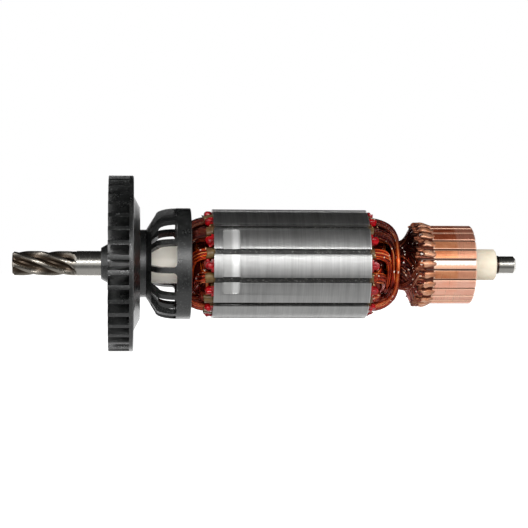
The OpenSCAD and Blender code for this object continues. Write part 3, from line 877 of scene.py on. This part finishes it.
def inner_pieces():
    """Turns that lie on the sleeve under the bundles and show between them."""
    rng = random.Random(5)
    bundle = Bundle()
    steps, sides = 14, 24
    bar_end_reach = bar_start - core_end - 2.6 * MM
    for face, out, low, reach, count in (
            (core_end, 1, 1.4 * MM, bar_end_overhang, 80),
            (core_end, 1, bar_end_overhang, bar_end_reach, 90),
            (core_start, -1, 1.4 * MM, fan_end_overhang - 1 * MM, 100)):
        for _ in range(count):
            x = face + out * rng.uniform(low, reach)
            start, sweep = rng.uniform(0, 360), rng.uniform(60, 150)
            slant, lift = rng.uniform(-1.6, 1.6) * MM, rng.uniform(0, 0.9) * MM
            wander = waves(rng, 1, 3)
            line = []
            for i in range(steps + 1):
                share = i / steps
                r = sleeve_r + WIRE_R + lift + 0.15 * MM * wander(0.3 + 0.7 * share)
                line.append(at(x + slant * share + 0.2 * MM * wander(share), r,
                               start + sweep * share))
            shade = rng.choices(range(WIRE_GLINT), INNER_SHARES)[0]
            bundle.wire(line, WIRE_R, shade, sides=6)
    # The lowest turns, as a dark maroon mass between the core and the sleeve: painted shade under
    # the windings
    low_r = sleeve_r + 0.2 * MM
    for face, out, reach in ((core_end, 1, bar_end_reach), (core_start, -1, fan_end_overhang)):
        profile = [(0, 14.5 * MM), (4 * MM, 13.6 * MM), (8 * MM, 11 * MM), (10.5 * MM, low_r),
                   (reach, low_r)]
        rings = [[at(face + out * min(away, reach), r, 360 * k / sides) for k in range(sides)]
                 for away, r in profile]
        bundle.ring_tube(rings, MAROON)
    bundle.piece("inner_turns", WIRE_SHADES, "enamelled_wire")


PAPER_T = 0.25 * MM
STRIP_W = 4.5 * MM
STRIP_TOP_R = 20.3 * MM
STRIP_LOW_R = 19.7 * MM
ARCH_BASE_R = 18.5 * MM
ARCH_HEIGHT = 2.0 * MM
ARCH_HALF_W = 2.1 * MM
FAN_END_ARCH = (3.0 * MM, 3.8 * MM)
BAR_END_ARCH = (0.9 * MM, 2.0 * MM)


def strip(bundle, across, up, rng):
    """The paper that closes one slot: flat below and uneven on top."""
    first, rows = len(bundle.points), 90
    places = [STRIP_W * share for share in (-1 / 2, -1 / 6, 1 / 6, 1 / 2)]
    rough = [waves(rng, 6, 24) for _ in places]
    for row in range(rows + 1):
        share = row / rows
        along = Vector((core_start + (core_end - core_start) * share, 0, 0))
        for wide, wander in zip(places, rough):
            r = STRIP_TOP_R + 0.14 * MM * wander(share)
            bundle.points.append(along + up * r + across * wide)
        for wide in reversed(places):
            bundle.points.append(along + up * STRIP_LOW_R + across * wide)
    bundle.skin(first, rows + 1, 2 * len(places), 0, False)


def arch(bundle, face, out, across, up, rng):
    """The end of a slot's paper, which stands out of the core as a short crumpled arch."""
    steps, rows = 12, 6
    long = rng.uniform(*(FAN_END_ARCH if out < 0 else BAR_END_ARCH))
    ragged, crush = waves(rng, 1, 3), waves(rng, 1, 2)
    first = len(bundle.points)
    for row in range(rows):
        share = row / (rows - 1)
        for k in range(2 * steps):
            # Over the arch on its outside, and back on its inside
            inner = k >= steps
            a = math.pi * ((2 * steps - 1 - k if inner else k) / (steps - 1))
            c, d = squircle(a, 2.2)
            wall = PAPER_T if inner else 0
            half_w = ARCH_HALF_W - wall + 0.35 * MM * share * crush(share)
            height = ARCH_HEIGHT - wall - 0.5 * MM * share * (1 + crush(share))
            x = face + out * share * (long + 0.4 * MM * ragged(a / 6.3))
            bundle.points.append(Vector((x, 0, 0)) + up * (ARCH_BASE_R + d * height)
                                 + across * (c * half_w))
    bundle.skin(first, rows, 2 * steps, 0, False)


def paper_pieces():
    """The closing paper of every slot, with its ends."""
    rng = random.Random(11)
    bundle = Bundle()
    for i in range(SLOTS):
        _, across, up = axes_at(SLOT_PHASE + i * SLOT_PITCH)
        strip(bundle, across, up, rng)
        for face, out in ((core_start, -1), (core_end, 1)):
            arch(bundle, face, out, across, up, rng)
    bundle.piece("closing_strips", [MATERIALS["paper"]], "paper", "slot_wedges")


def tip_pieces():
    """Resin that has run over the red fibre tips, less of it at the commutator's end."""
    rng = random.Random(33)
    bundle = Bundle()
    for face, out in ((core_start, -1), (core_end, 1)):
        for i in range(SLOTS):
            angle = SLOT_PHASE + (i + 0.5) * SLOT_PITCH
            axes = axes_at(angle)
            size = (1 if out < 0 else 0.72) * MM
            place = at(face + out * 1.6 * size, 20.0 * MM, angle + rng.uniform(-1.5, 1.5))
            halves = (1.6 * size, rng.uniform(1.2, 1.7) * size, 1.4 * size)
            lump(bundle, place, axes, halves, 0, rng, 0.45)
            for _ in range(5):
                x = face + out * rng.uniform(0.4, 2.6) * size
                r = rng.uniform(17.4, 20.6) * MM
                place = at(x, r, angle + rng.uniform(-6, 6))
                halves = [rng.uniform(0.3, 0.95) * size for _ in range(3)]
                lump(bundle, place, axes, halves, 0, rng, 0.5)
    obj = bundle.piece("red_resin", [red_resin("red_resin")], "red_fibre")
    obj.modifiers.new("round", "SUBSURF").render_levels = 1


def drop_pieces():
    """Small hardened drops of clear resin on the windings and the closing strips."""
    rng = random.Random(55)
    bundle = Bundle()
    for face, out in ((core_start, -1), (core_end, 1)):
        for i in range(SLOTS):
            slot = SLOT_PHASE + i * SLOT_PITCH
            for _ in range(5):
                r = rng.uniform(17.5, 20.2) * MM
                x = face + out * rng.uniform(0.8, 3.6) * MM
                place = at(x, r, slot + rng.uniform(-8, 8))
                halves = (rng.uniform(0.2, 0.5) * MM, rng.uniform(0.2, 0.6) * MM, 0.3 * MM)
                lump(bundle, place, axes_at(slot), halves, 0, rng, 0.3, 5, 8)
    obj = bundle.piece("resin_drops", [resin_drop()], "enamelled_wire")
    obj.modifiers.new("round", "SUBSURF").render_levels = 1


bar_pieces()
hook_pieces()
inner_pieces()
paper_pieces()
tip_pieces()
drop_pieces()


# ---- studio ----

def stage_mesh(name, points, faces, material):
    """A piece of the studio, which is no part of the armature."""
    mesh = bpy.data.meshes.new(name)
    mesh.from_pydata(points, [], faces)
    mesh.materials.append(material)
    obj = bpy.data.objects.new(name, mesh)
    bpy.context.scene.collection.objects.link(obj)
    return obj


def empty_material(name):
    """A material without a shader yet: itself, its nodes, its links and its output node."""
    material = bpy.data.materials.new(name)
    material.use_nodes = True
    nodes = material.node_tree.nodes
    nodes.clear()
    return material, nodes, material.node_tree.links, nodes.new("ShaderNodeOutputMaterial")


def looked_at(nodes, links):
    """1 for camera, glossy and transmission rays, and 0 where the surface lights the object."""
    rays = nodes.new("ShaderNodeLightPath")
    seen = rays.outputs["Is Camera Ray"]
    for kind in ("Is Glossy Ray", "Is Transmission Ray"):
        either = nodes.new("ShaderNodeMath")
        either.operation = "MAXIMUM"
        links.new(seen, either.inputs[0])
        links.new(rays.outputs[kind], either.inputs[1])
        seen = either.outputs[0]
    return seen


def floor():
    """Pale floor. It is white to the camera and in reflections, and keeps the soft shadow."""
    material, nodes, links, out = empty_material("floor")
    matt = nodes.new("ShaderNodeBsdfDiffuse")
    matt.inputs["Color"].default_value = (0.8, 0.8, 0.8, 1)
    white = nodes.new("ShaderNodeEmission")
    both = nodes.new("ShaderNodeAddShader")
    part = nodes.new("ShaderNodeMath")
    part.operation = "MULTIPLY"
    part.inputs[1].default_value = 0.75
    links.new(looked_at(nodes, links), part.inputs[0])
    links.new(part.outputs[0], white.inputs["Strength"])
    links.new(matt.outputs[0], both.inputs[0])
    links.new(white.outputs[0], both.inputs[1])
    links.new(both.outputs[0], out.inputs["Surface"])
    size, level = 30, -0.2
    stage_mesh("floor", [(-size, -size, level), (size, -size, level), (size, size, level),
                         (-size, size, level)], [(0, 1, 2, 3)], material)


# How bright the studio's cards are round the shaft: degrees above the near side, and strength
CARDS = [
    (-140, 0.40), (-105, 0.48), (-60, 0.45), (-50, 0.30), (-38, 0.14), (-22, 0.16), (-12, 0.45),
    (-3, 0.85), (7, 1.0), (12, 1.7), (21, 1.7), (27, 0.6), (36, 0.2), (56, 0.06), (80, 0.035),
    (110, 0.02), (150, 0.012), (164, 0.015),
]


def cards():
    """Long cards round the object that only its reflections see: a light one in front, a grey one
    below and a dark one overhead. Behind the object they leave the backdrop open."""
    radius, depth, left, right, steps = 1.2, 0.18, -1.6, 1.8, 76
    lo, hi = CARDS[0][0], CARDS[-1][0]
    material, nodes, links, out = empty_material("cards")
    glow = nodes.new("ShaderNodeEmission")
    place = nodes.new("ShaderNodeTexCoord")
    split = nodes.new("ShaderNodeSeparateXYZ")
    links.new(place.outputs["Object"], split.inputs[0])
    front = nodes.new("ShaderNodeMath")
    front.operation = "MULTIPLY"
    front.inputs[1].default_value = -1
    links.new(split.outputs["Y"], front.inputs[0])
    turn = nodes.new("ShaderNodeMath")
    turn.operation = "ARCTAN2"
    links.new(split.outputs["Z"], turn.inputs[0])
    links.new(front.outputs[0], turn.inputs[1])
    along = nodes.new("ShaderNodeMapRange")
    along.inputs["From Min"].default_value = math.radians(lo)
    along.inputs["From Max"].default_value = math.radians(hi)
    links.new(turn.outputs[0], along.inputs["Value"])
    ramp = nodes.new("ShaderNodeValToRGB")
    top = max(c[1] for c in CARDS)
    stops = ramp.color_ramp.elements
    stops.remove(stops[1])
    for angle, strength in CARDS:
        position = (angle - lo) / (hi - lo)
        stop = stops.new(position) if position > 0 else stops[0]
        stop.color = (*(strength / top,) * 3, 1)
    links.new(along.outputs[0], ramp.inputs["Fac"])
    links.new(ramp.outputs["Color"], glow.inputs["Color"])
    glow.inputs["Strength"].default_value = top
    links.new(glow.outputs[0], out.inputs["Surface"])
    points, faces = [], []
    for i in range(steps + 1):
        a = math.radians(lo + (hi - lo) * i / steps)
        # Below the object the cards lie flat, just over the floor
        r = min(radius, depth / -math.sin(a)) if math.sin(a) < 0 else radius
        for x in (left, right):
            points.append((x, -r * math.cos(a), r * math.sin(a)))
        if i:
            faces.append((2 * i - 2, 2 * i - 1, 2 * i + 1, 2 * i))
    obj = stage_mesh("cards", points, faces, material)
    obj.visible_camera = False
    obj.visible_diffuse = False
    obj.visible_shadow = False
    obj.visible_transmission = False
    obj.visible_volume_scatter = False


def backdrop():
    """White to the camera and in reflections, and a plain even light on the object."""
    world = bpy.data.worlds.new("studio")
    bpy.context.scene.world = world
    world.use_nodes = True
    nodes, links = world.node_tree.nodes, world.node_tree.links
    background = nodes["Background"]
    level = nodes.new("ShaderNodeMapRange")
    level.inputs["To Min"].default_value = 0.65
    level.inputs["To Max"].default_value = 1.0
    links.new(looked_at(nodes, links), level.inputs["Value"])
    background.inputs["Color"].default_value = (1, 1, 1, 1)
    links.new(level.outputs[0], background.inputs["Strength"])


def aim(obj, place, target):
    """Puts a lamp or the camera at a place and turns it to a target."""
    obj.location = Vector(place)
    obj.rotation_euler = (Vector(target) - obj.location).to_track_quat("-Z", "Y").to_euler()


def lamp(name, place, size, radiance):
    """An area lamp that the camera doesn't see, turned to the middle of the armature."""
    light = bpy.data.lights.new(name, "AREA")
    light.shape = "RECTANGLE"
    light.size, light.size_y = size
    light.energy = radiance * math.pi * size[0] * size[1]
    obj = bpy.data.objects.new(name, light)
    bpy.context.scene.collection.objects.link(obj)
    aim(obj, place, (0.07, 0, 0))
    obj.visible_camera = False
    return obj


def lamps():
    """Soft light from the front, which the gloss doesn't see, and a tube only for the gloss."""
    key = lamp("key", (0.0, -1.25, 0.42), (2.2, 0.6), 2.7)
    fill = lamp("fill", (0.1, -1.3, -0.12), (2.0, 0.5), 1.9)
    key.visible_glossy = fill.visible_glossy = False
    # It draws the bright lines on steel, copper and resin
    tube = lamp("tube", (0.07, -1.1, 0.325), (2.4, 0.03), 15)
    tube.visible_diffuse = False


def camera():
    """The photograph's view: from a little to the left, level with the shaft."""
    data = bpy.data.cameras.new("camera")
    data.sensor_width = 36
    data.lens = 116.25
    obj = bpy.data.objects.new("camera", data)
    bpy.context.scene.collection.objects.link(obj)
    aim(obj, (0.016, -0.685, 0), (0.0702, 0, 0))
    obj.rotation_euler.rotate_axis("Z", math.radians(0.2))
    bpy.context.scene.camera = obj


floor()
cards()
backdrop()
lamps()
camera()
bpy.context.scene.view_settings.view_transform = "Standard"

bpy.context.view_layer.update()
